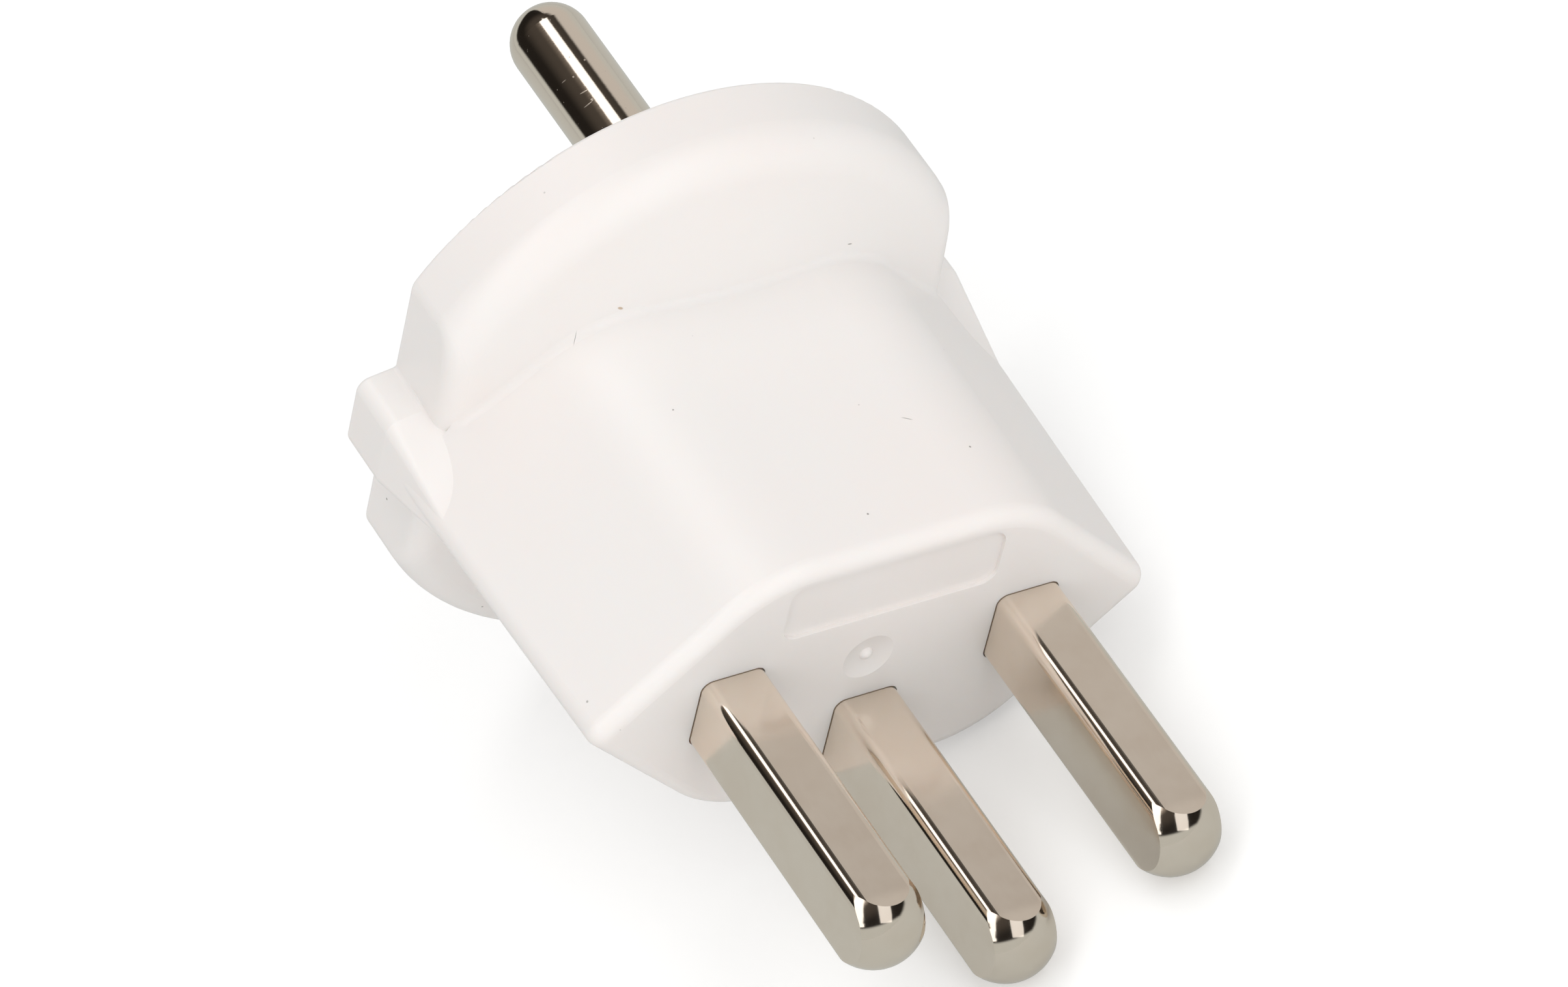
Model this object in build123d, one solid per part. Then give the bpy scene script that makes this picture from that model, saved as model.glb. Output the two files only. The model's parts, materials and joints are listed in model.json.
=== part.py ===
from build123d import *
import os
from math import acos, atan2, cos, degrees, hypot, radians, sin, tan

# Plug adapter: three rectangular pins on the plug side, and on the socket side a round face with
# two contact holes and a round earth pin that stands out of it. Millimetres.
# The adapter is drawn upright first: the plug face lies at height 0 with the rectangular pins
# below it, the axis is +Z, the line and neutral pins lie along X, and the flat earth pin is
# offset towards +Y. At the end every piece is laid down together as the adapter comes to rest.

# Plug side: the rectangular pins
pin_pitch = 19.0            # line pin to neutral pin
earth_offset = 5.0          # flat earth pin from the line between the other two
pin_wide = 4.0              # along X
pin_deep = 5.0              # along Y
pin_length = 19.2           # beyond the plug face
pin_edge = 0.67             # rounding of the long edges
pin_head_wide = 7.0         # T head that keeps the pin from falling out of the floor
pin_head_deep = 5.0
pin_head_thick = 1.6        # its seat in the floor is as deep

# Socket side: contact holes, sleeves and the round earth pin
contact_pin = 4.8           # diameter of the plug pins that this side takes
round_pin_offset = 10.0     # round earth pin from the line between the contact holes
round_pin_diameter = 4.8
round_pin_length = 16.3     # beyond the socket face
round_pin_root_step = 0.2   # stouter all round where it passes through the cover
round_pin_flange_step = 0.3  # and again where it is held under the cover
round_pin_flange_thick = 1.2
round_pin_shank = 3.0       # turned down end that is peened over the earth bridge
peened_rim = 0.8            # of the peened end, all round
peened_thick = 0.7

# Housing, outside
socket_face = 27.3          # height of the round face above the plug face
head_thick = 5.65           # from the round face down to where the large rounding ends
head_edge = 2.5             # large rounding under the rim
head_top_edge = 0.25
head_side_edge = 1.4        # rounding round the two side flats
head_cone = 12.6            # degrees, the underside rises outwards
flat_cut = 2.43             # how far the side flats cut into the round head
root_round = 0.5            # fillet where the body runs into the head
ridge_inset = 0.45          # from the rim's radius in to where the flanks would meet
flank_angle = 44.0          # degrees between a flank and X
body_corner = 8.2           # rounding between flank and flat
ridge_round = 1.1           # rounding of the side ridge
draft = 1.25                # degrees, the body widens towards the head
plug_face_edge = 1.0        # rounding round the plug face
tongue_square = 3.7         # the side tongue is square this far down from the round face
tongue_rise = 6.6           # and below that it grows out of the side ridge over this height
tongue_wide = 4.8           # at its outer face
tongue_root = 6.0           # a little inside the flat of the head
tongue_sunk = 1.0           # how far inside
tongue_inset = 0.1          # from the rim's radius in to the outer face
tongue_edge = 0.9
tongue_fillet = 0.3         # where it meets the flat of the head

# Housing, inside
wall = 2.0
side_wall = 2.35            # of the head, behind its side flats
floor = 3.6
cover_thick = 3.0
cover_rim = 1.8             # wall of the housing round the cover
pocket_corner = 1.0         # of the pocket for the arm of the earth bridge
label_wide = 13.8           # sunk panel on the plug face
label_deep = 4.1
label_edge = 4.1            # panel's inner border from the axis
label_sunk = 0.25
label_corner = 1.0
gate_dish = 3.2             # shallow dish where the moulding was filled
gate_sunk = 0.3
gate_nub = 0.45             # radius of what is left of the sprue in the dish
gate_place = (-0.6, -0.7)

# Insert that keeps the live contacts and the earth apart
separator_base = 1.2
separator_wall = 1.2

# Clearances
slip = 0.05                 # round a pin or a thread
fit = 0.1                   # round the cover
air = 0.2                   # round the earth bridge
spring_gap = 0.55           # from a spring ring to the wall of the insert
bridge_gap = 0.9            # from that wall to the earth bridge
foot_gap = 0.03             # from the foot of the earth bridge to the wall
leg_gap = 0.25              # from its upright leg to the screw head
collar_gap = 0.35           # from the cover's collars to the side walls
hole_ease = 0.3             # round a plug pin in the cover
past = 1.0                  # how far a cut runs on past the face it opens

# Contact sleeves and their spring rings
sleeve_wall = 0.75
sleeve_base = 1.4
sleeve_top = 0.8            # below the seat of the cover
sleeve_slot = 0.8
slot_length = 12.5          # down from the mouth of the sleeve
spring_down = 6.0           # from the mouth of the sleeve to its spring ring
spring_wire = 0.9
spring_groove = 0.25
spring_opening = 1.2
spigot_wall = 0.9           # collar of the cover round the mouth of the sleeve
spigot_length = 3.6
hole_lead = 0.5             # chamfer at the mouth of the contact holes

# Earth bridge and the screws
bridge_thick = 1.0
bridge_bend = 0.35          # inside radius
screw_size = 2.5
screw_head = 4.0
screw_head_high = 1.4
screw_length = 6.0
washer_inset = 0.1          # all round, from the rim of the screw's head
washer_thick = 0.6
washer_gap = 0.7
cover_screw_head = 4.5
cover_screw_high = 1.4
cover_boss_wall = 1.0       # of the cover's boss round that head
cover_screw_sunk = 0.4
cover_screw_tip = 1.0       # beyond the arm of the bridge
screw_slot = 0.8
slot_depth = 0.7

# Heights and places that follow from the sizes above, from the inside outwards
half_pitch = pin_pitch / 2
pin_places = {"line": (-half_pitch, 0), "neutral": (half_pitch, 0), "earth": (0, earth_offset)}
pin_tip = hypot(pin_wide / 2 - pin_edge, pin_deep / 2 - pin_edge) + pin_edge
pin_top = floor
pin_seat = pin_top - pin_head_thick
cover_seat = socket_face - cover_thick
sleeve_bore = contact_pin + 2 * slip
sleeve_outer = sleeve_bore / 2 + sleeve_wall
sleeve_end = cover_seat - sleeve_top
spring_outer = sleeve_outer - spring_groove + spring_wire
screw_chamber = screw_head + 2 * air
contact_hole = contact_pin + 2 * hole_ease
collar = sleeve_outer + slip + spigot_wall
round_pin_root = round_pin_diameter + 2 * round_pin_root_step
round_pin_flange = round_pin_root + 2 * round_pin_flange_step
peened_size = round_pin_shank + 2 * peened_rim
separator_room = 2 * (half_pitch - spring_outer - spring_gap - separator_wall)
bridge_wide = separator_room - 2 * bridge_gap
bridge_top = cover_seat - air
bridge_under = bridge_top - bridge_thick
bridge_foot = earth_offset + pin_head_deep / 2
bridge_leg = earth_offset - screw_head / 2 - leg_gap - bridge_thick
bridge_end = round_pin_offset + max(bridge_wide, peened_size) / 2
pocket_wide = max(bridge_wide, peened_size) + 2 * air
pocket_floor = bridge_under - peened_thick - air
hollow_side = half_pitch + collar + collar_gap
head_flat = hollow_side + side_wall
head_radius = head_flat + flat_cut
head_under = socket_face - head_thick
tongue_full = socket_face - tongue_square
tongue_start = tongue_full - tongue_rise
tongue_out = head_radius - tongue_inset
body_apex = head_radius - ridge_inset
body_flat = bridge_foot + foot_gap + wall - floor * tan(radians(draft))


def disc(radius, low, high, x=0, y=0):
    """A round bar or bore from one height to another."""
    return Pos(x, y, (low + high) / 2) * Cylinder(radius, high - low)


def block(wide, deep, low, high, x=0, y=0, corner=0):
    """An upright rectangular bar, with rounded long edges where a corner radius is given."""
    outline = RectangleRounded(wide, deep, corner) if corner else Rectangle(wide, deep)
    return Pos(x, y, low) * extrude(outline, amount=high - low)


def body_section(height, inset=0):
    """Six-sided section of the body, widened by the draft, with all its corners rounded."""
    grown = height * tan(radians(draft)) - inset
    flat = body_flat + grown
    apex = body_apex + grown / sin(radians(flank_angle))
    shoulder = apex - flat / tan(radians(flank_angle))
    points = [(apex, 0), (shoulder, flat), (-shoulder, flat)]
    points += [(-x, -y) for x, y in points]
    outline = make_face(Polyline(*points, close=True))
    corners = outline.vertices().filter_by(lambda v: abs(v.Y) > flat / 2)
    outline = fillet(corners, body_corner - inset)
    ridges = outline.vertices().filter_by(lambda v: abs(v.Y) < slip)
    return Pos(0, 0, height) * fillet(ridges, max(ridge_round - inset, 0.3))


def head():
    """Round head on a shallow cone, with a large rounding under the rim and two side flats."""
    slope = radians(head_cone)
    rim = head_radius - head_edge
    centre = head_under + head_edge * cos(slope)
    foot = (rim + head_edge * sin(slope), head_under)
    middle_angle = (slope - radians(90)) / 2
    middle = (rim + head_edge * cos(middle_angle), centre + head_edge * sin(middle_angle))
    inner = (0, head_under - foot[0] * tan(slope))
    side = (head_radius, centre)
    top = socket_face
    outline = (
        Line(inner, foot)
        + ThreePointArc(foot, middle, side)
        + Polyline(side, (head_radius, top), (0, top), inner)
    )
    form = revolve(Plane.XZ * make_face(outline), Axis.Z)
    form &= block(2 * head_flat, 4 * head_radius, 0, 2 * top)
    form = fillet(form.edges().filter_by(is_flat_border), head_side_edge)
    return fillet(form.faces().sort_by(Axis.Z)[-1].edges(), head_top_edge)


def is_flat_border(edge):
    """Whether an edge runs round one of the side flats of the head, but not along its face."""
    place = edge.center()
    return abs(abs(place.X) - head_flat) < slip and place.Z < socket_face - slip


def tongue_section(height, outer, outer_half, edge):
    """Four-sided section of a tongue, seen from above, with its two outer corners rounded."""
    inner = head_flat - tongue_sunk
    inner_half = tongue_root / 2
    points = [(inner, -inner_half), (outer, -outer_half), (outer, outer_half), (inner, inner_half)]
    outline = make_face(Polyline(*points, close=True))
    corners = outline.vertices().filter_by(lambda v: v.X > outer - slip)
    return Pos(0, 0, height) * fillet(corners, edge)


def tongue():
    """The side ridge runs on over the flat of the head and squares up into a tongue."""
    half_corner = sin(radians(flank_angle))
    apex = body_apex + tongue_start * tan(radians(draft)) / half_corner
    ridge = apex - ridge_round * (1 / half_corner - 1)
    low = tongue_section(tongue_start, ridge - 2 * fit, ridge_round / 2, ridge_round / 4)
    square = tongue_section(tongue_full, tongue_out, tongue_wide / 2, tongue_edge)
    upper = extrude(square, amount=socket_face - tongue_full)
    lip = upper.faces().sort_by(Axis.Z)[-1].edges()
    lip = lip.filter_by(lambda e: e.center().X > head_flat - tongue_sunk + slip)
    return loft([low, square], ruled=True) + fillet(lip, head_top_edge)


def housing_outside():
    """The solid form of the housing before it is hollowed out."""
    shank = loft([body_section(0), body_section(head_under)])
    under = shank.faces().sort_by(Axis.Z)[0]
    shank = fillet(under.edges(), plug_face_edge)
    form = shank + head()
    form = fillet(form.edges().filter_by(is_root), root_round)
    side = tongue()
    form += side + mirror(side, Plane.YZ)
    return fillet(form.edges().filter_by(is_tongue_root), tongue_fillet)


def is_root(edge):
    """Whether an edge is where the body's front or back runs into the underside of the head."""
    place = edge.center()
    lowest = head_under - head_radius * tan(radians(head_cone))
    beside_ridge = abs(place.X) < head_flat - tongue_sunk and abs(place.Y) > body_flat / 4
    return beside_ridge and lowest < place.Z < head_under - slip


def is_tongue_root(edge):
    """Whether an edge is where a side of a tongue meets the flat of the head."""
    place = edge.center()
    beside_tongue = abs(abs(place.X) - head_flat) < slip and abs(place.Y) < tongue_root / 2 + slip
    return beside_tongue and head_under < place.Z < socket_face - slip and edge.length > tongue_edge


def cover_outline(inset):
    """Outline of the cover and of its recess: round, with the two flats of the head."""
    outer = head_radius - cover_rim - inset
    flat = head_flat - cover_rim - inset
    return Circle(outer) & Rectangle(2 * flat, 4 * outer)


def pin_hole(x, y):
    """Hole through the floor and the seat for the pin's head."""
    hole = block(pin_wide + 2 * slip, pin_deep + 2 * slip, -past, floor + past, x, y, pin_edge)
    seat = block(pin_head_wide + 2 * slip, pin_head_deep + 2 * slip, pin_seat, floor + past, x, y)
    return hole + seat


def label_panel():
    """Shallow sunk panel on the plug face, left bare."""
    middle = -(label_edge + label_deep / 2)
    return block(label_wide, label_deep, -past, label_sunk, 0, middle, label_corner)


def core(low, high, inset):
    """The inner form of the housing between two heights: the body's section, cut off at the sides."""
    form = loft([body_section(low, inset), body_section(high, inset)])
    side = hollow_side + wall - inset
    return form & block(2 * side, 4 * body_flat, low, high)


def housing():
    """Moulded housing, open towards the cover."""
    recess = Pos(0, 0, cover_seat) * extrude(cover_outline(0), amount=cover_thick + past)
    arm = bridge_end + air - body_flat + 2 * wall
    pocket = block(pocket_wide, arm, pocket_floor, cover_seat + past,
                   0, arm / 2 - bridge_end - air, pocket_corner)
    shell = housing_outside() - core(floor, cover_seat + slip, wall) - recess - pocket
    for x, y in pin_places.values():
        shell -= pin_hole(x, y)
    gate_x, gate_y = gate_place
    dish = ((gate_dish / 2) ** 2 + gate_sunk ** 2) / (2 * gate_sunk)
    shell -= label_panel()
    shell -= Pos(gate_x, gate_y, gate_sunk - dish) * Sphere(dish)
    shell += Pos(gate_x, gate_y, gate_nub) * Sphere(gate_nub)
    return shell


def contact_separator():
    """Insert on the floor: a plate round the contacts and two walls between live and earth."""
    plate = core(floor, floor + separator_base, wall + fit)
    plate -= block(bridge_wide + 2 * air, 2 * body_flat, floor - past, floor + 2 * separator_base,
                   0, body_flat + bridge_leg - air)
    inside = core(floor, bridge_top, wall + fit)
    for side in (-1, 1):
        middle = side * (separator_room + separator_wall) / 2
        plate += inside & block(separator_wall, 4 * body_flat, floor, bridge_top, middle)
        plate -= disc(sleeve_outer + air, floor - past, floor + 2 * separator_base, side * half_pitch)
    return plate


def rectangular_pin(x, y):
    """Flat pin with rounded long edges, a domed tip and a T head tapped for its screw."""
    tip_height = pin_tip - pin_length
    bar = block(pin_wide, pin_deep, -pin_length, pin_top, 0, 0, pin_edge)
    reach = block(2 * pin_deep, 2 * pin_deep, tip_height, pin_top)
    dome = Pos(0, 0, tip_height) * Sphere(pin_tip)
    head_bar = block(pin_head_wide, pin_head_deep, pin_seat, pin_top)
    thread = disc(screw_size / 2 + slip, pin_top - screw_length, pin_top + past)
    return Pos(x, y, 0) * ((bar & (reach + dome)) + head_bar - thread)


def round_earth_pin():
    """Round pin with a domed tip, turned down at its foot and peened over the earth bridge."""
    radius = round_pin_diameter / 2
    tip = socket_face + round_pin_length - radius
    bar = disc(radius, bridge_top, tip) + Pos(0, 0, tip) * Sphere(radius)
    bar += disc(round_pin_root / 2, bridge_top, socket_face)
    bar += disc(round_pin_flange / 2, bridge_top, bridge_top + round_pin_flange_thick)
    shank = disc(round_pin_shank / 2, bridge_under - peened_thick, bridge_top)
    button = disc(peened_size / 2, bridge_under - peened_thick, bridge_under)
    button = fillet(button.edges().sort_by(Axis.Z)[0], peened_thick * 0.6)
    return Pos(0, -round_pin_offset, 0) * (bar + shank + button)


def contact_sleeve(x):
    """Turned sleeve with four spring fingers, a groove for its ring and a bored base."""
    body = disc(sleeve_outer, pin_top, sleeve_end)
    body = fillet(body.edges().sort_by(Axis.Z)[-1], sleeve_wall * 0.4)
    screw_top = pin_top + sleeve_base + washer_thick + screw_head_high + air
    bore = disc(sleeve_bore / 2, screw_top, sleeve_end + past)
    bore += disc(screw_chamber / 2, pin_top + sleeve_base, screw_top)
    screw_way = disc(screw_size / 2 + slip, pin_top - past, pin_top + sleeve_base + past)
    slot_bottom = sleeve_end - slot_length
    slots = block(4 * sleeve_outer, sleeve_slot, slot_bottom, sleeve_end + past)
    slots += block(sleeve_slot, 4 * sleeve_outer, slot_bottom, sleeve_end + past)
    low = sleeve_end - spring_down - spring_wire / 2
    groove = disc(2 * sleeve_outer, low, low + spring_wire)
    groove -= disc(sleeve_outer - spring_groove, low, low + spring_wire)
    return Pos(x, 0, 0) * (body - bore - screw_way - slots - groove)


def sleeve_spring(x):
    """Open ring of round wire in the groove of the sleeve."""
    middle = spring_outer - spring_wire / 2 + slip
    ring = Pos(0, 0, sleeve_end - spring_down) * Torus(middle, spring_wire / 2 - slip)
    opening = block(2 * sleeve_outer, spring_opening, 0, socket_face, middle + sleeve_outer / 2)
    return Pos(x, 0, 0) * (ring - opening)


def contact_cover():
    """Moulded face with the contact holes and collars, and the ways for pin and screw."""
    plate = Pos(0, 0, cover_seat) * extrude(cover_outline(fit), amount=cover_thick)
    for x in (-half_pitch, half_pitch):
        plate += disc(collar, cover_seat - spigot_length, cover_seat + past, x)
    plate += disc(cover_screw_head / 2 + cover_boss_wall, bridge_top, cover_seat + past)
    for x in (-half_pitch, half_pitch):
        plate -= disc(sleeve_outer + slip, cover_seat - spigot_length - past, sleeve_end + slip, x)
        plate -= disc(contact_hole / 2, sleeve_end - past, socket_face + past, x)
        lead = Cone(contact_hole / 2, contact_hole / 2 + hole_lead, hole_lead)
        plate -= Pos(x, 0, socket_face - hole_lead / 2) * lead
    plate -= disc(round_pin_root / 2 + slip, 0, 2 * socket_face, 0, -round_pin_offset)
    flange_top = bridge_top + round_pin_flange_thick + slip
    plate -= disc(round_pin_flange / 2 + fit, cover_seat - past, flange_top, 0, -round_pin_offset)
    plate -= disc(screw_size / 2 + fit, 0, 2 * socket_face)
    shelf = socket_face - cover_screw_sunk - cover_screw_high
    plate -= disc(cover_screw_head / 2 + air, shelf, socket_face + past)
    return plate


def earth_bridge():
    """Bent strip: foot on the flat earth pin, upright leg, and arm out to the round pin."""
    near = bridge_leg
    far = bridge_leg + bridge_thick
    foot_top = pin_top + bridge_thick
    points = [(bridge_foot, pin_top), (near, pin_top), (near, bridge_under), (-bridge_end, bridge_under),
              (-bridge_end, bridge_top), (far, bridge_top), (far, foot_top), (bridge_foot, foot_top)]
    outline = make_face(Polyline(*points, close=True))
    inner_bends = [(near, bridge_under), (far, foot_top)]
    outer_bends = [(near, pin_top), (far, bridge_top)]
    for places, radius in ((inner_bends, bridge_bend), (outer_bends, bridge_bend + bridge_thick)):
        for place in places:
            corner = outline.vertices().sort_by_distance(place)[0]
            outline = fillet(corner, radius)
    strip = extrude(Plane.YZ * outline, amount=bridge_wide / 2, both=True)
    tip = strip.edges().filter_by(Axis.Z).filter_by(lambda e: e.center().Y < -bridge_end + slip)
    strip = fillet(tip, bridge_wide / 2 - slip)
    strip -= disc(screw_size / 2 + slip, pin_top - past, foot_top + past, 0, earth_offset)
    strip -= disc(screw_size / 2 + slip, bridge_under - past, bridge_top + past)
    strip -= disc(round_pin_shank / 2 + slip, bridge_under - past, bridge_top + past, 0, -round_pin_offset)
    return strip


def slotted_screw(head_size, high, under_head, end):
    """Cheese-head screw with a straight slot, from under its head down to its end."""
    top = under_head + high
    head_part = disc(head_size / 2, under_head, top)
    head_part = fillet(head_part.edges().sort_by(Axis.Z)[-1], high * 0.25)
    shank = disc(screw_size / 2, end, under_head)
    shank = chamfer(shank.edges().sort_by(Axis.Z)[0], screw_size * 0.15)
    slot = block(2 * head_size, screw_slot, top - slot_depth, top + past)
    return head_part + shank - slot


def clamped_height(name):
    """Top of what lies on the head of a pin: the bridge's foot, or the base of a sleeve."""
    return pin_top + (bridge_thick if name == "earth" else sleeve_base)


def pin_screws():
    """The three identical screws that hold sleeves and earth bridge on the pin heads."""
    screws = []
    for name, (x, y) in pin_places.items():
        seat = clamped_height(name) + washer_thick
        end = seat - screw_length
        screws.append(Pos(x, y, 0) * slotted_screw(screw_head, screw_head_high, seat, end))
    return screws


def pin_spring_washers():
    """The three split washers under those screws."""
    washers = []
    for name, (x, y) in pin_places.items():
        low = clamped_height(name)
        top = low + washer_thick
        ring = disc(screw_head / 2 - washer_inset, low, top)
        ring -= disc(screw_size / 2 + slip, low - past, top + past)
        ring -= block(screw_head, washer_gap, low - past, top + past, screw_head / 2)
        washers.append(Pos(x, y, 0) * ring)
    return washers


def cover_screw():
    """The screw in the middle of the face, threaded into the arm of the earth bridge."""
    seat = socket_face - cover_screw_sunk - cover_screw_high
    return slotted_screw(cover_screw_head, cover_screw_high, seat, bridge_under - cover_screw_tip)


def resting_turn():
    """The turn that lays the adapter on the rim of its head and on two of its pin tips."""
    roll = atan2(earth_offset, half_pitch)
    tips = half_pitch * sin(roll)
    drop = head_radius - head_edge - tips
    rim_height = head_under + head_edge * cos(radians(head_cone))
    run = rim_height + pin_length - pin_tip
    pitch = acos((pin_tip - head_edge) / hypot(drop, run)) - atan2(run, drop)
    return Rot(X=degrees(pitch)) * Rot(Y=degrees(roll)) * Rot(X=-90)


def build():
    """Every piece by its name, upright."""
    pieces = {
        "housing": housing(),
        "contact_cover": contact_cover(),
        "contact_separator": contact_separator(),
        "round_earth_pin": round_earth_pin(),
        "earth_bridge": earth_bridge(),
        "pin_screws": pin_screws(),
        "pin_spring_washers": pin_spring_washers(),
        "cover_screw": cover_screw(),
    }
    for name, (x, y) in pin_places.items():
        pieces[name + "_pin"] = rectangular_pin(x, y)
    for name, x in (("line", -half_pitch), ("neutral", half_pitch)):
        pieces[name + "_contact_sleeve"] = contact_sleeve(x)
        pieces[name + "_sleeve_spring"] = sleeve_spring(x)
    return pieces


def lay_down(pieces):
    """All pieces turned to rest, standing on height 0 with the middle of their box at the origin."""
    turn = resting_turn()
    laid = {}
    for name, shape in pieces.items():
        group = shape if isinstance(shape, list) else [shape]
        laid[name] = [turn * solid for item in group for solid in item.solids()]
    box = Compound([solid for solids in laid.values() for solid in solids]).bounding_box()
    middle = box.center()
    shift = Pos(-middle.X, -middle.Y, -box.min.Z)
    return {name: Compound([shift * solid for solid in solids]) for name, solids in laid.items()}


os.makedirs("parts", exist_ok=True)
for piece_name, piece in lay_down(build()).items():
    export_step(piece, "parts/" + piece_name + ".step")
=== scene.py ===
"""Plug adapter: finishes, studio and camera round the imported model. Metres, in its frame."""

import json
import math

import bpy
from bpy.props import FloatProperty, FloatVectorProperty, PointerProperty
from mathutils import Matrix, Vector


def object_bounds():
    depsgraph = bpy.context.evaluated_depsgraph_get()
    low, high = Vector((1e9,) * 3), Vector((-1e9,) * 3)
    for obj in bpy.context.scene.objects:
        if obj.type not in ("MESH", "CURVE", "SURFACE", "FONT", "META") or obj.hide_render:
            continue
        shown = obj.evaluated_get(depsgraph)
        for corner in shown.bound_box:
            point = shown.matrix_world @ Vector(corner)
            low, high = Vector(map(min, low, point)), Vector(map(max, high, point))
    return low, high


bl_info = {
    "name": "Plug adapter",
    "version": (1, 0, 0),
    "blender": (4, 5, 0),
    "location": "3D View > Sidebar > Adapter",
    "description": "Finishes, studio and camera for a mains plug adapter",
    "category": "Object",
}

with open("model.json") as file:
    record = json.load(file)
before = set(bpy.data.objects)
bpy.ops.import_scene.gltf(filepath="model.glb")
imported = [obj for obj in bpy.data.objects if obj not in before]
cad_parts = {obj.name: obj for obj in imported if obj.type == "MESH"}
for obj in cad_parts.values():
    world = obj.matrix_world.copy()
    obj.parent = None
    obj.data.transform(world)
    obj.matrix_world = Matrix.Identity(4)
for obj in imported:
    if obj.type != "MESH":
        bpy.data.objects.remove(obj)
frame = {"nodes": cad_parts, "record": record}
CAD_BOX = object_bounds()
MM = 0.001

# The adapter lies on its side. Its own axes come from the mounts: X from the line pin to the
# neutral pin, Z from the plug face to the socket face. Its origin is between these two pins, level
# with the plug face.
MOUNTS = {mount["name"]: mount for mount in frame["record"]["mounts"]}


def mount_place(name):
    """Where a mount lies, in metres."""
    return Vector(MOUNTS[name]["pos_m"])


def adapter_axes():
    """Matrix from the adapter's own upright axes to the frame."""
    up = Vector(MOUNTS["round_earth_pin"]["axis"])
    across = (mount_place("neutral_pin") - mount_place("line_pin")).normalized()
    deep = up.cross(across)
    middle = (mount_place("neutral_pin") + mount_place("line_pin")) / 2
    origin = middle + up * (mount_place("plug_face") - middle).dot(up)
    axes = Matrix((across, deep, up)).transposed()
    return Matrix.Translation(origin) @ axes.to_4x4()


ADAPTER = adapter_axes()


def in_adapter(point):
    """A point of the frame in the adapter's own axes."""
    return ADAPTER.inverted() @ Vector(point)


FLAT_PINS = ("line_pin", "neutral_pin", "earth_pin")
PIN_PLACES = {name: in_adapter(mount_place(name)) for name in FLAT_PINS}

# Millimetres from a rectangular pin's own axis, or from the plug face, over which its satin flats
# give way to the polish of its rounded edges and of its tip
PIN_EDGE_ACROSS = (1.35, 1.7)
PIN_EDGE_DEEP = (1.85, 2.2)
PIN_TIP = (-17.5, -16.6)

# Each lamp's azimuth and elevation seen from the adapter and its turn about its own line of sight,
# all in degrees, then its width and its length
LAMPS = {
    "overhead": (215, 73, 16, 0.34, 2.2),
    "front": (302, 37, -43, 0.48, 1.12),
}
LAMP_DISTANCE = 1.0
FLOOR_SIZE = 6.0
FLOOR_DROP = 0.0001
SENSOR_WIDTH = 36.0
NEAREST_SEEN = 0.01

# What polished metal mirrors: how far the pale screen behind the adapter rises above the rest of
# the surround, and how soft the upper rim of both is, as heights on a ball of radius 1
SCREEN_RISE = 0.66
RIM_HAZE = 0.06

BLACK = (0.0, 0.0, 0.0, 1.0)
WHITE = (1.0, 1.0, 1.0, 1.0)


class Wire:
    """A number socket in an expression: each operator adds its Math node."""

    def __init__(self, finish, socket):
        self.finish = finish
        self.socket = socket

    def math(self, operation, *values):
        """A Math node on these values."""
        return self.finish.node("ShaderNodeMath", {"operation": operation}, dict(enumerate(values)))

    def __add__(self, other):
        return self.math("ADD", self, other)

    def __radd__(self, other):
        return self.math("ADD", other, self)

    def __sub__(self, other):
        return self.math("SUBTRACT", self, other)

    def __rsub__(self, other):
        return self.math("SUBTRACT", other, self)

    def __mul__(self, other):
        return self.math("MULTIPLY", self, other)

    def __rmul__(self, other):
        return self.math("MULTIPLY", other, self)

    def __abs__(self):
        return self.math("ABSOLUTE", self)

    def highest(self, other):
        """The larger of two."""
        return self.math("MAXIMUM", self, other)

    def step(self, low, high):
        """From 0 at low to 1 at high, eased at both ends."""
        settings = {"interpolation_type": "SMOOTHSTEP", "clamp": True}
        sockets = {0: self, 1: low, 2: high, 3: 0.0, 4: 1.0}
        return self.finish.node("ShaderNodeMapRange", settings, sockets)


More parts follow.
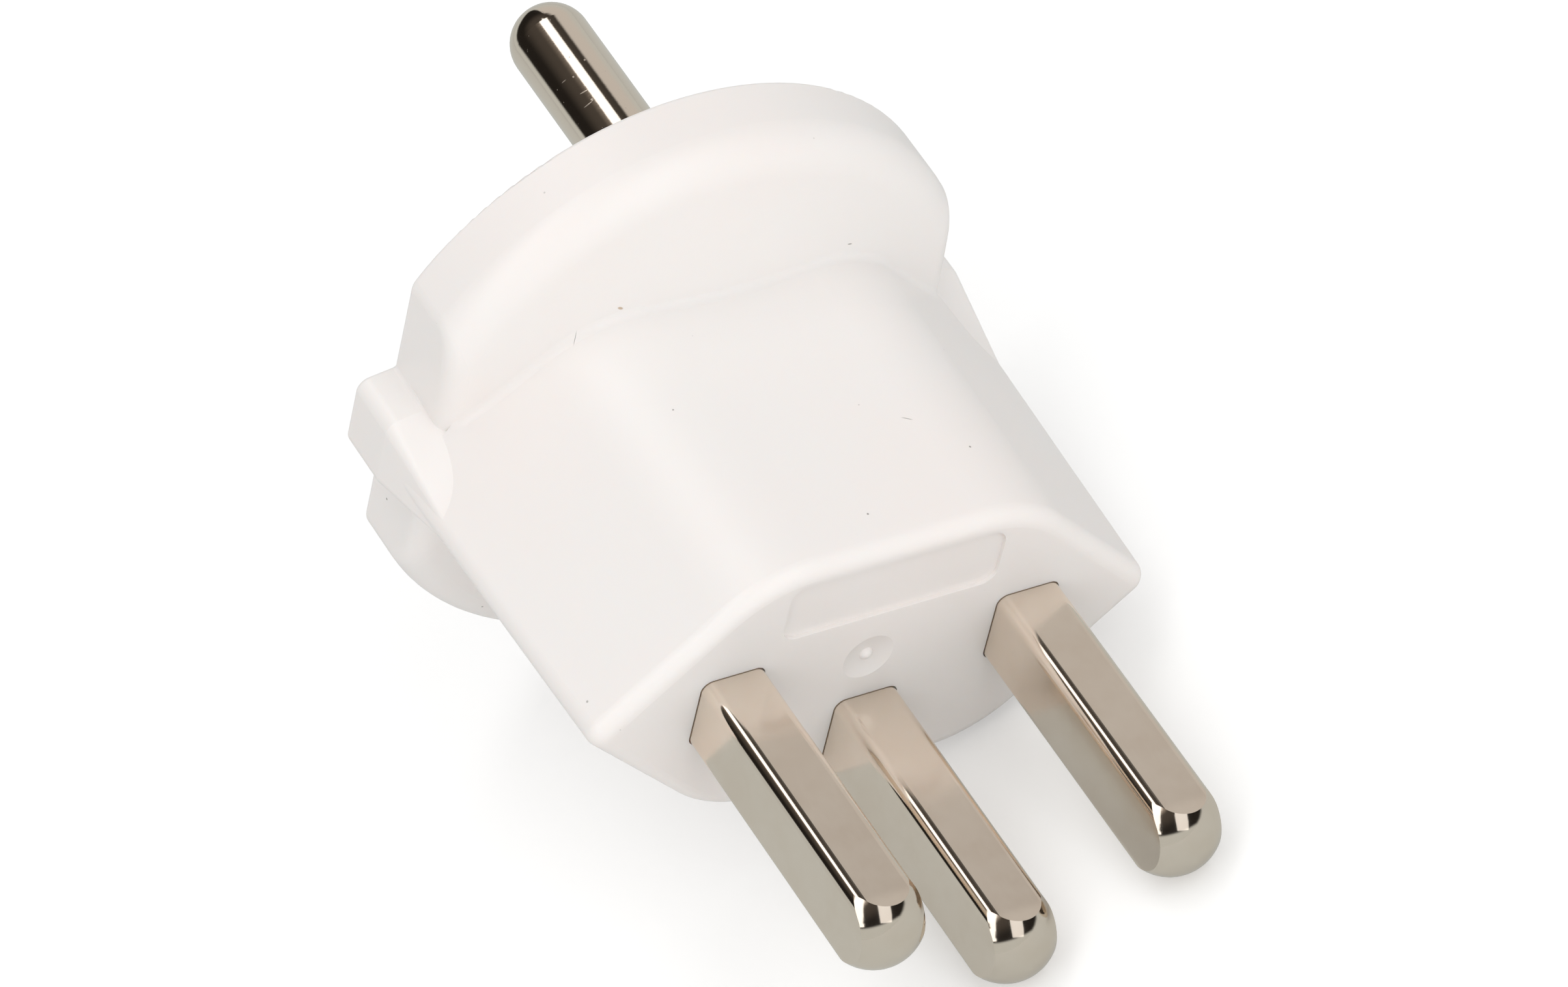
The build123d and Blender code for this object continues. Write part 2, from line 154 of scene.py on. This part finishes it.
class Finish:
    """A node tree of a material or of the world, built up by expressions."""

    def __init__(self, tree):
        self.tree = tree
        self.tree.nodes.clear()

    def node(self, kind, settings=None, sockets=None, output=0):
        """Adds a node: its settings first, then the values or links of its sockets. It gives the
        output that is asked for, and none for a node that has none."""
        made = self.tree.nodes.new(kind)
        for name, value in (settings or {}).items():
            setattr(made, name, value)
        for name, value in (sockets or {}).items():
            if isinstance(value, Wire):
                self.tree.links.new(value.socket, made.inputs[name])
            else:
                made.inputs[name].default_value = value
        return None if output is None else Wire(self, made.outputs[output])

    def place(self, origin=(0, 0, 0)):
        """Object coordinates in the adapter's own axes, in millimetres from an origin in metres."""
        coordinates = self.node("ShaderNodeTexCoord", output="Object")
        turn = ADAPTER.to_euler()
        sockets = {0: coordinates, 1: ADAPTER @ Vector(origin), 2: turn, 3: (MM, MM, MM)}
        return self.node("ShaderNodeMapping", {"vector_type": "TEXTURE"}, sockets)

    def stretched(self, scales):
        """The same coordinates from the adapter's own origin, each times a scale of its own."""
        sockets = {0: self.place(), 1: scales}
        return self.node("ShaderNodeVectorMath", {"operation": "MULTIPLY"}, sockets)

    def parts(self, vector):
        """The three numbers of a vector."""
        return [self.node("ShaderNodeSeparateXYZ", None, {0: vector}, axis) for axis in "XYZ"]

    def length(self, vector):
        """How long a vector is."""
        return self.node("ShaderNodeVectorMath", {"operation": "LENGTH"}, {0: vector}, "Value")

    def ray(self, kind):
        """1 for the rays of one kind, and 0 for all others."""
        return self.node("ShaderNodeLightPath", output="Is %s Ray" % kind)

    def noise(self, vector, scale, detail=2.0, roughness=0.5):
        """Soft noise from 0 to 1; the scale is in waves per millimetre."""
        sockets = {"Vector": vector, "Scale": scale, "Detail": detail, "Roughness": roughness}
        return self.node("ShaderNodeTexNoise", None, sockets)

    def cells(self, vector, scale, output="Distance"):
        """Cell pattern: the distance to the nearest random point, or that cell's own colour."""
        return self.node("ShaderNodeTexVoronoi", None, {"Vector": vector, "Scale": scale}, output)

    def blend(self, amount, low, high):
        """One colour over another."""
        return self.node("ShaderNodeMix", {"data_type": "RGBA"}, {0: amount, 6: low, 7: high}, 2)

    def bump(self, height, strength, distance):
        """Normal of a surface with this height, where a height of 1 stands for a distance."""
        sockets = {"Strength": strength, "Distance": distance, "Height": height}
        return self.node("ShaderNodeBump", None, sockets)


def material(name, draw):
    """A material whose surface is drawn by a function of a Finish."""
    made = bpy.data.materials.new(name)
    made.use_nodes = True
    finish = Finish(made.node_tree)
    finish.node("ShaderNodeOutputMaterial", None, {"Surface": draw(finish)}, None)
    return made


def principled(finish, **sockets):
    """The surface shader, with its sockets given by name."""
    named = {name.replace("_", " "): value for name, value in sockets.items()}
    return finish.node("ShaderNodeBsdfPrincipled", None, named)


def opaque(colour):
    """A colour with its alpha."""
    return (*colour, 1.0)


def dress(node, made):
    """Gives one node of the frame a material."""
    for slot in frame["nodes"][node].material_slots:
        slot.material = made


# Marks of use on the housing and on the round pin: the middle of each in the adapter's own axes,
# its angle in the picture in degrees, and its length and width. All lengths are in millimetres.
HOUSING_MARKS = {
    "dark fibre": ((8.1, -10.4, 20.8), 12, 0.30, 0.09),
    "scratch beside the ridge": ((-9.5, -9.0, 20.6), 78, 1.00, 0.05),
    "scratch on the front": ((4.8, -9.6, 8.3), -11, 0.80, 0.05),
}
CRUMB = ((-6.8, -10.35, 20.7), -4, 0.36, 0.18)
ROUND_PIN_MARKS = {
    "upper scratch": ((-1.4, -11.9, 35.4), 28, 0.60, 0.07),
    "lower scratch": ((-1.6, -11.8, 34.5), 38, 0.75, 0.07),
    "short scratch": ((-1.8, -11.5, 36.9), 39, 0.40, 0.06),
    "pit beside the streak": ((-0.4, -12.4, 37.3), 0, 0.14, 0.14),
    "pit in the dark": ((-1.4, -11.95, 36.65), 0, 0.12, 0.12),
    "pit on the scratch": ((-1.3, -12.0, 34.6), 0, 0.16, 0.16),
}
MARK_DEPTH = 1.5

# Specks of dirt on the housing and pits in the round pin: cells per millimetre, the least radius of
# a spot and what is added to it at most, both in cells, the draws between which a cell comes to
# have a spot, and how strong the faintest is
SPECKS = {"scale": 1.1, "least": 0.05, "added": 0.07, "drawn": (0.965, 0.97), "faintest": 0.35}
PITS = {"scale": 3.2, "least": 0.06, "added": 0.14, "drawn": (0.70, 0.71), "faintest": 0.3}


def picture_axes(settings):
    """Right, up and towards the camera of the photograph, as columns, in the adapter's own axes."""
    back = -Vector(settings.view).normalized()
    right = Vector(settings.picture_up).cross(back).normalized()
    return Matrix((right, back.cross(right), back)).transposed()


# Finishes

def mark(finish, place, axes, shape):
    """One short mark, 1 on it and 0 beside it. It lies where it is seen from the camera's side."""
    middle, angle, length, width = shape
    turn = (axes @ Matrix.Rotation(math.radians(angle), 3, "Z")).to_euler()
    sockets = {0: place, 1: middle, 2: turn, 3: (length / 2, width / 2, MARK_DEPTH)}
    away = finish.node("ShaderNodeMapping", {"vector_type": "TEXTURE"}, sockets)
    return 1 - finish.length(away).step(0.5, 1.0)


def spots(finish, place, scale, least, added, drawn, faintest):
    """Round spots in some cells of a pattern, each with a size and a strength of its own."""
    chance, size, strength = finish.parts(finish.cells(place, scale, "Color"))
    radius = least + added * size
    spot = 1 - finish.cells(place, scale).step(radius * 0.5, radius)
    return spot * chance.step(*drawn) * (faintest + (1 - faintest) * strength)


def warmer(colour):
    """A little pinker than a colour."""
    red, green, blue = colour
    return red * 1.012, green * 0.992, blue * 0.985


def moulded_plastic(settings, colour, used_side=None):
    """Semi-gloss moulded plastic. The marks of use are drawn where a picture's axes are given."""

    def draw(finish):
        place = finish.place()
        cloud = finish.noise(place, 0.07)
        shade = finish.blend(cloud.step(0.35, 0.7), opaque(colour), opaque(warmer(colour)))
        mottle = finish.noise(place, 1.3, 3.0)
        rough = settings.gloss + 0.06 * (mottle - 0.5)
        grain = finish.noise(place, 2.2, 3.0, 0.6)
        swell = finish.noise(place, 0.25, 1.0)
        height = grain * 0.35 + swell * 1.5
        if used_side is not None:
            dirt = spots(finish, place, **SPECKS)
            for shape in HOUSING_MARKS.values():
                dirt = dirt.highest(mark(finish, place, used_side, shape) * 0.8)
            shade = finish.blend(dirt * 0.75, shade, opaque(settings.dust))
            crumb = mark(finish, place, used_side, CRUMB)
            shade = finish.blend(crumb * 0.7, shade, opaque(settings.crumb))
            rough = rough + dirt * 0.2
        return principled(
            finish,
            Base_Color=shade,
            Roughness=rough,
            Normal=finish.bump(height, 0.25, 0.02 * MM),
            Subsurface_Weight=settings.glow,
            Subsurface_Radius=(1.0, 0.75, 0.6),
            Subsurface_Scale=1.2 * MM,
        )

    return draw


def flat_pin_nickel(settings, place_of_pin):
    """Satin nickel on the flats of a rectangular pin, brighter on its rounded edges and tip."""

    def draw(finish):
        place = finish.place(Vector((place_of_pin.x, place_of_pin.y, 0)))
        x, y, z = finish.parts(place)
        rounded = abs(x).step(*PIN_EDGE_ACROSS) * abs(y).step(*PIN_EDGE_DEEP)
        edge = rounded.highest(1 - z.step(*PIN_TIP))
        blotch = finish.noise(place, 0.35, 3.0, 0.6)
        grain = finish.noise(finish.stretched((9.0, 9.0, 1.6)), 1.0)
        bright, dull = opaque(settings.nickel), opaque(settings.nickel_dull)
        colour = finish.blend(blotch.step(0.3, 0.75), bright, dull)
        flats = settings.satin + 0.02 * (grain - 0.5) + 0.04 * (blotch - 0.5)
        rough = settings.polish * edge + flats * (1 - edge)
        height = grain * (1 - 0.8 * edge) * 0.3 + blotch * 0.4
        return principled(
            finish,
            Base_Color=colour,
            Metallic=1.0,
            Roughness=rough,
            Normal=finish.bump(height, 0.05, 0.004 * MM),
        )

    return draw


def round_pin_nickel(settings, used_side):
    """Polished nickel with faint turning rings, small pits and a few bright cross scratches."""

    def draw(finish):
        place = finish.place()
        rings = finish.noise(finish.stretched((0.15, 0.15, 9.0)), 1.0)
        ripple = finish.noise(place, 3.5)
        worn = spots(finish, place, **PITS)
        for shape in ROUND_PIN_MARKS.values():
            worn = worn.highest(mark(finish, place, used_side, shape))
        height = rings * 0.2 + ripple * 0.5 - worn
        rough = settings.polish + 0.03 * (rings - 0.5) + 0.5 * worn
        return principled(
            finish,
            Base_Color=opaque(settings.nickel),
            Metallic=1.0,
            Roughness=rough,
            Normal=finish.bump(height, 0.35, 0.006 * MM),
        )

    return draw


def turned_metal(colour, roughness):
    """Bare turned or drawn metal of the inner pieces."""

    def draw(finish):
        place = finish.place()
        tint = finish.noise(place, 0.8, 3.0)
        rings = finish.noise(finish.stretched((0.4, 0.4, 12.0)), 1.0)
        tarnished = opaque([0.82 * part for part in colour])
        return principled(
            finish,
            Base_Color=finish.blend(tint.step(0.3, 0.7), opaque(colour), tarnished),
            Metallic=1.0,
            Roughness=roughness + 0.12 * (rings - 0.5),
            Normal=finish.bump(rings, 0.2, 0.006 * MM),
        )

    return draw


# Settings that a user would change

def colour_setting(name, description, default):
    """A colour between black and white."""
    return FloatVectorProperty(
        name=name, description=description, default=default, subtype="COLOR", size=3,
        min=0.0, max=1.0,
    )


def share_setting(name, description, default):
    """A share from 0 to 1."""
    return FloatProperty(
        name=name, description=description, default=default, subtype="FACTOR", min=0.0, max=1.0,
    )


class MouldingSettings(bpy.types.PropertyGroup):
    """Colours and gloss of the moulded pieces."""

    shell: colour_setting("Shell", "Colour of the housing and the cover", (0.87, 0.838, 0.815))
    inner: colour_setting("Insert", "Colour of the insert inside", (0.70, 0.66, 0.58))
    dust: colour_setting("Dust", "Colour of specks and fibres", (0.10, 0.085, 0.07))
    crumb: colour_setting("Crumb", "Colour of the one brown crumb", (0.42, 0.26, 0.11))
    gloss: share_setting("Roughness", "Roughness of the moulded surface", 0.36)
    glow: share_setting("Glow", "How far light spreads inside the plastic", 0.25)


class MetalSettings(bpy.types.PropertyGroup):
    """Colours and polish of the metal pieces."""

    nickel: colour_setting("Nickel", "Colour of the plating", (0.85, 0.755, 0.65))
    nickel_dull: colour_setting("Nickel, dull", "Colour of its duller clouds", (0.82, 0.715, 0.605))
    brass: colour_setting("Brass", "Colour of sleeves and strip", (0.72, 0.52, 0.25))
    spring: colour_setting("Spring steel", "Colour of rings and washers", (0.42, 0.42, 0.43))
    screw: colour_setting("Screw steel", "Colour of the zinc plated screws", (0.58, 0.59, 0.60))
    satin: share_setting("Satin", "Roughness of the flats of the pins", 0.16)
    polish: share_setting("Polish", "Roughness of polished metal", 0.09)


class StudioSettings(bpy.types.PropertyGroup):
    """Floor, lamps and camera."""

    floor: colour_setting("Floor", "Colour of the floor", (0.88, 0.88, 0.875))
    surround: colour_setting(
        "Surround", "Floor and walls, as polished metal mirrors them", (0.56, 0.585, 0.57),
    )
    screen: colour_setting(
        "Screen", "Pale screen behind the adapter, as metal mirrors it", (0.60, 0.575, 0.55),
    )
    dusk: colour_setting("Dusk", "Tint of the dark studio, as metal mirrors it", (1.0, 0.85, 0.72))
    fill: FloatProperty(
        name="Fill", description="Strength of the light from all round", default=0.61, min=0.0,
    )
    overhead: FloatProperty(
        name="Overhead lamp", description="Power of the long soft lamp above", default=3.6,
        subtype="POWER", unit="POWER", min=0.0,
    )
    front: FloatProperty(
        name="Front lamp", description="Power of the soft lamp in front", default=1.55,
        subtype="POWER", unit="POWER", min=0.0,
    )
    lift: FloatProperty(
        name="Floor lift", description="What the floor adds for the camera and for polished metal",
        default=0.25, min=0.0,
    )
    camera: FloatVectorProperty(
        name="Camera", description="Place of the camera in the adapter's own axes",
        default=(-0.23164, -0.36012, -0.27099), subtype="TRANSLATION", unit="LENGTH", size=3,
    )
    view: FloatVectorProperty(
        name="View", description="Direction of view in the adapter's own axes",
        default=(0.4532, 0.6998, 0.5522), subtype="DIRECTION", size=3,
    )
    picture_up: FloatVectorProperty(
        name="Picture's up", description="Up in the picture, in the adapter's own axes",
        default=(0.2439, -0.6932, 0.6783), subtype="DIRECTION", size=3,
    )
    lens: FloatProperty(
        name="Lens", description="Focal length for a sensor 36 mm wide, in millimetres",
        default=210.86, min=1.0,
    )


# Operators

class ADAPTER_OT_mouldings(bpy.types.Operator):
    """Finish the housing, the cover and the insert"""

    bl_idname = "adapter.mouldings"
    bl_label = "Mouldings"

    def execute(self, context):
        settings = context.scene.adapter_mouldings
        used_side = picture_axes(context.scene.adapter_studio)
        used = moulded_plastic(settings, settings.shell, used_side)
        clean = moulded_plastic(settings, settings.shell)
        inner = moulded_plastic(settings, settings.inner)
        dress("housing", material("housing_plastic", used))
        dress("contact_cover", material("cover_plastic", clean))
        dress("contact_separator", material("insert_plastic", inner))
        return {"FINISHED"}


class ADAPTER_OT_flat_pins(bpy.types.Operator):
    """Finish the three rectangular pins"""

    bl_idname = "adapter.flat_pins"
    bl_label = "Rectangular pins"

    def execute(self, context):
        settings = context.scene.adapter_metals
        for name, place in PIN_PLACES.items():
            dress(name, material(name + "_nickel", flat_pin_nickel(settings, place)))
        return {"FINISHED"}


class ADAPTER_OT_round_pin(bpy.types.Operator):
    """Finish the round earth pin"""

    bl_idname = "adapter.round_pin"
    bl_label = "Round earth pin"

    def execute(self, context):
        settings = context.scene.adapter_metals
        used_side = picture_axes(context.scene.adapter_studio)
        nickel = material("round_pin_nickel", round_pin_nickel(settings, used_side))
        dress("round_earth_pin", nickel)
        return {"FINISHED"}


class ADAPTER_OT_contacts(bpy.types.Operator):
    """Finish the contact sleeves, their rings, the washers and the earth bridge"""

    bl_idname = "adapter.contacts"
    bl_label = "Contacts"

    def execute(self, context):
        settings = context.scene.adapter_metals
        brass = material("turned_brass", turned_metal(settings.brass, 0.32))
        for node in ("line_contact_sleeve", "neutral_contact_sleeve", "earth_bridge"):
            dress(node, brass)
        steel = material("drawn_steel", turned_metal(settings.spring, 0.35))
        for node in ("line_sleeve_spring", "neutral_sleeve_spring", "pin_spring_washers"):
            dress(node, steel)
        return {"FINISHED"}


class ADAPTER_OT_screws(bpy.types.Operator):
    """Finish the screws"""

    bl_idname = "adapter.screws"
    bl_label = "Screws"

    def execute(self, context):
        settings = context.scene.adapter_metals
        zinc = material("zinc_plate", turned_metal(settings.screw, 0.30))
        for node in ("pin_screws", "cover_screw"):
            dress(node, zinc)
        return {"FINISHED"}


def direction(azimuth, elevation):
    """Unit vector: azimuth from +X towards +Y, elevation from the floor up, in degrees."""
    a, e = math.radians(azimuth), math.radians(elevation)
    return Vector((math.cos(e) * math.cos(a), math.cos(e) * math.sin(a), math.sin(e)))


def soft_lamp(name, target, power):
    """A rectangular lamp that faces a target."""
    azimuth, elevation, turn, width, length = LAMPS[name]
    data = bpy.data.lights.new(name, "AREA")
    data.shape = "RECTANGLE"
    data.size = width
    data.size_y = length
    data.energy = power
    lamp = bpy.data.objects.new(name, data)
    bpy.context.scene.collection.objects.link(lamp)
    place = target + direction(azimuth, elevation) * LAMP_DISTANCE
    facing = (target - place).to_track_quat("-Z", "Y").to_matrix().to_4x4()
    turned = Matrix.Rotation(math.radians(turn), 4, "Z")
    lamp.matrix_world = Matrix.Translation(place) @ facing @ turned


def studio_world(settings):
    """White all round for the camera, and soft fill for plain surfaces, twice as strong from -Y.
    Polished metal mirrors a pale surround low down, taller behind the adapter on the right, and the
    dark studio above it."""
    world = bpy.data.worlds.new("studio")
    world.use_nodes = True
    finish = Finish(world.node_tree)
    x, y, z = finish.parts(finish.node("ShaderNodeTexCoord", output="Generated"))
    behind = (x * 0.3 + y * 0.95).step(0.35, 0.6) * x.step(0.0, 0.35)
    slope = (-0.28 * x - 0.32 * y).highest(0.2 * (1 - x.step(-0.3, 0.3))).highest(0.03)
    screened = behind * z.step(0.0, 0.4)
    pale = finish.blend(screened, opaque(settings.surround), opaque(settings.screen))
    glow = 0.015 + 0.05 * z.step(0.55, 0.9) + 0.2 * z.step(0.91, 0.965)
    dark = finish.blend(glow, BLACK, opaque(settings.dusk))
    above = z - slope - SCREEN_RISE * behind
    mirrored = finish.blend(above.step(-RIM_HAZE, RIM_HAZE), pale, dark)
    fill = settings.fill * (2 - y.step(-0.95, -0.25))
    seen = finish.ray("Camera").highest(finish.ray("Transmission"))
    colour = finish.blend(seen, finish.blend(finish.ray("Glossy"), fill, mirrored), WHITE)
    light = finish.node("ShaderNodeBackground", None, {"Color": colour, "Strength": 1.0})
    finish.node("ShaderNodeOutputWorld", None, {"Surface": light}, None)
    bpy.context.scene.world = world


def floor_finish(settings):
    """Pale matt floor, white to the camera but for the adapter's shadow. Polished metal mirrors it
    in the colour of the surround."""

    def draw(finish):
        glossy = finish.ray("Glossy")
        mirrored = opaque([part - settings.lift for part in settings.surround])
        return principled(
            finish,
            Base_Color=finish.blend(glossy, opaque(settings.floor), mirrored),
            Roughness=0.9,
            Emission_Color=finish.blend(finish.ray("Camera").highest(glossy), BLACK, WHITE),
            Emission_Strength=settings.lift,
        )

    return draw


class ADAPTER_OT_studio(bpy.types.Operator):
    """Set up floor, lamps, background and camera"""

    bl_idname = "adapter.studio"
    bl_label = "Studio"

    def execute(self, context):
        settings = context.scene.adapter_studio
        bpy.ops.object.select_all(action="DESELECT")
        bpy.ops.mesh.primitive_plane_add(size=FLOOR_SIZE, location=(0.0, 0.0, -FLOOR_DROP))
        floor = context.active_object
        floor.name = "floor"
        floor.data.materials.append(material("pale_floor", floor_finish(settings)))
        middle = (CAD_BOX[0] + CAD_BOX[1]) / 2
        soft_lamp("overhead", middle, settings.overhead)
        soft_lamp("front", middle, settings.front)
        studio_world(settings)
        self.camera(context, settings)
        context.scene.view_settings.view_transform = "Standard"
        return {"FINISHED"}

    def camera(self, context, settings):
        """The camera where the photograph was taken from."""
        data = bpy.data.cameras.new("camera")
        data.sensor_width = SENSOR_WIDTH
        data.sensor_fit = "HORIZONTAL"
        data.lens = settings.lens
        data.clip_start = NEAREST_SEEN
        camera = bpy.data.objects.new("camera", data)
        context.scene.collection.objects.link(camera)
        turn = picture_axes(settings).to_4x4()
        camera.matrix_world = ADAPTER @ Matrix.Translation(Vector(settings.camera)) @ turn
        context.scene.camera = camera


OPERATORS = (
    ADAPTER_OT_mouldings,
    ADAPTER_OT_flat_pins,
    ADAPTER_OT_round_pin,
    ADAPTER_OT_contacts,
    ADAPTER_OT_screws,
    ADAPTER_OT_studio,
)


class ADAPTER_PT_panel(bpy.types.Panel):
    """The adapter's pieces and its studio"""

    bl_idname = "ADAPTER_PT_panel"
    bl_label = "Plug adapter"
    bl_space_type = "VIEW_3D"
    bl_region_type = "UI"
    bl_category = "Adapter"

    def draw(self, context):
        scene = context.scene
        for group in (scene.adapter_mouldings, scene.adapter_metals, scene.adapter_studio):
            box = self.layout.box()
            for name in group.bl_rna.properties.keys():
                if name not in ("rna_type", "name"):
                    box.prop(group, name)
        for operator in OPERATORS:
            self.layout.operator(operator.bl_idname)


GROUPS = {
    "adapter_mouldings": MouldingSettings,
    "adapter_metals": MetalSettings,
    "adapter_studio": StudioSettings,
}
CLASSES = (*GROUPS.values(), *OPERATORS, ADAPTER_PT_panel)


def register():
    """Registers the classes and puts the settings on the scene."""
    for made in CLASSES:
        bpy.utils.register_class(made)
    for name, group in GROUPS.items():
        setattr(bpy.types.Scene, name, PointerProperty(type=group))


def unregister():
    """Takes all of it away again."""
    for name in GROUPS:
        delattr(bpy.types.Scene, name)
    for made in reversed(CLASSES):
        bpy.utils.unregister_class(made)


def main():
    """Registers the add-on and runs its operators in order."""
    register()
    bpy.ops.adapter.mouldings()
    bpy.ops.adapter.flat_pins()
    bpy.ops.adapter.round_pin()
    bpy.ops.adapter.contacts()
    bpy.ops.adapter.screws()
    bpy.ops.adapter.studio()


if __name__ == "__main__":
    main()
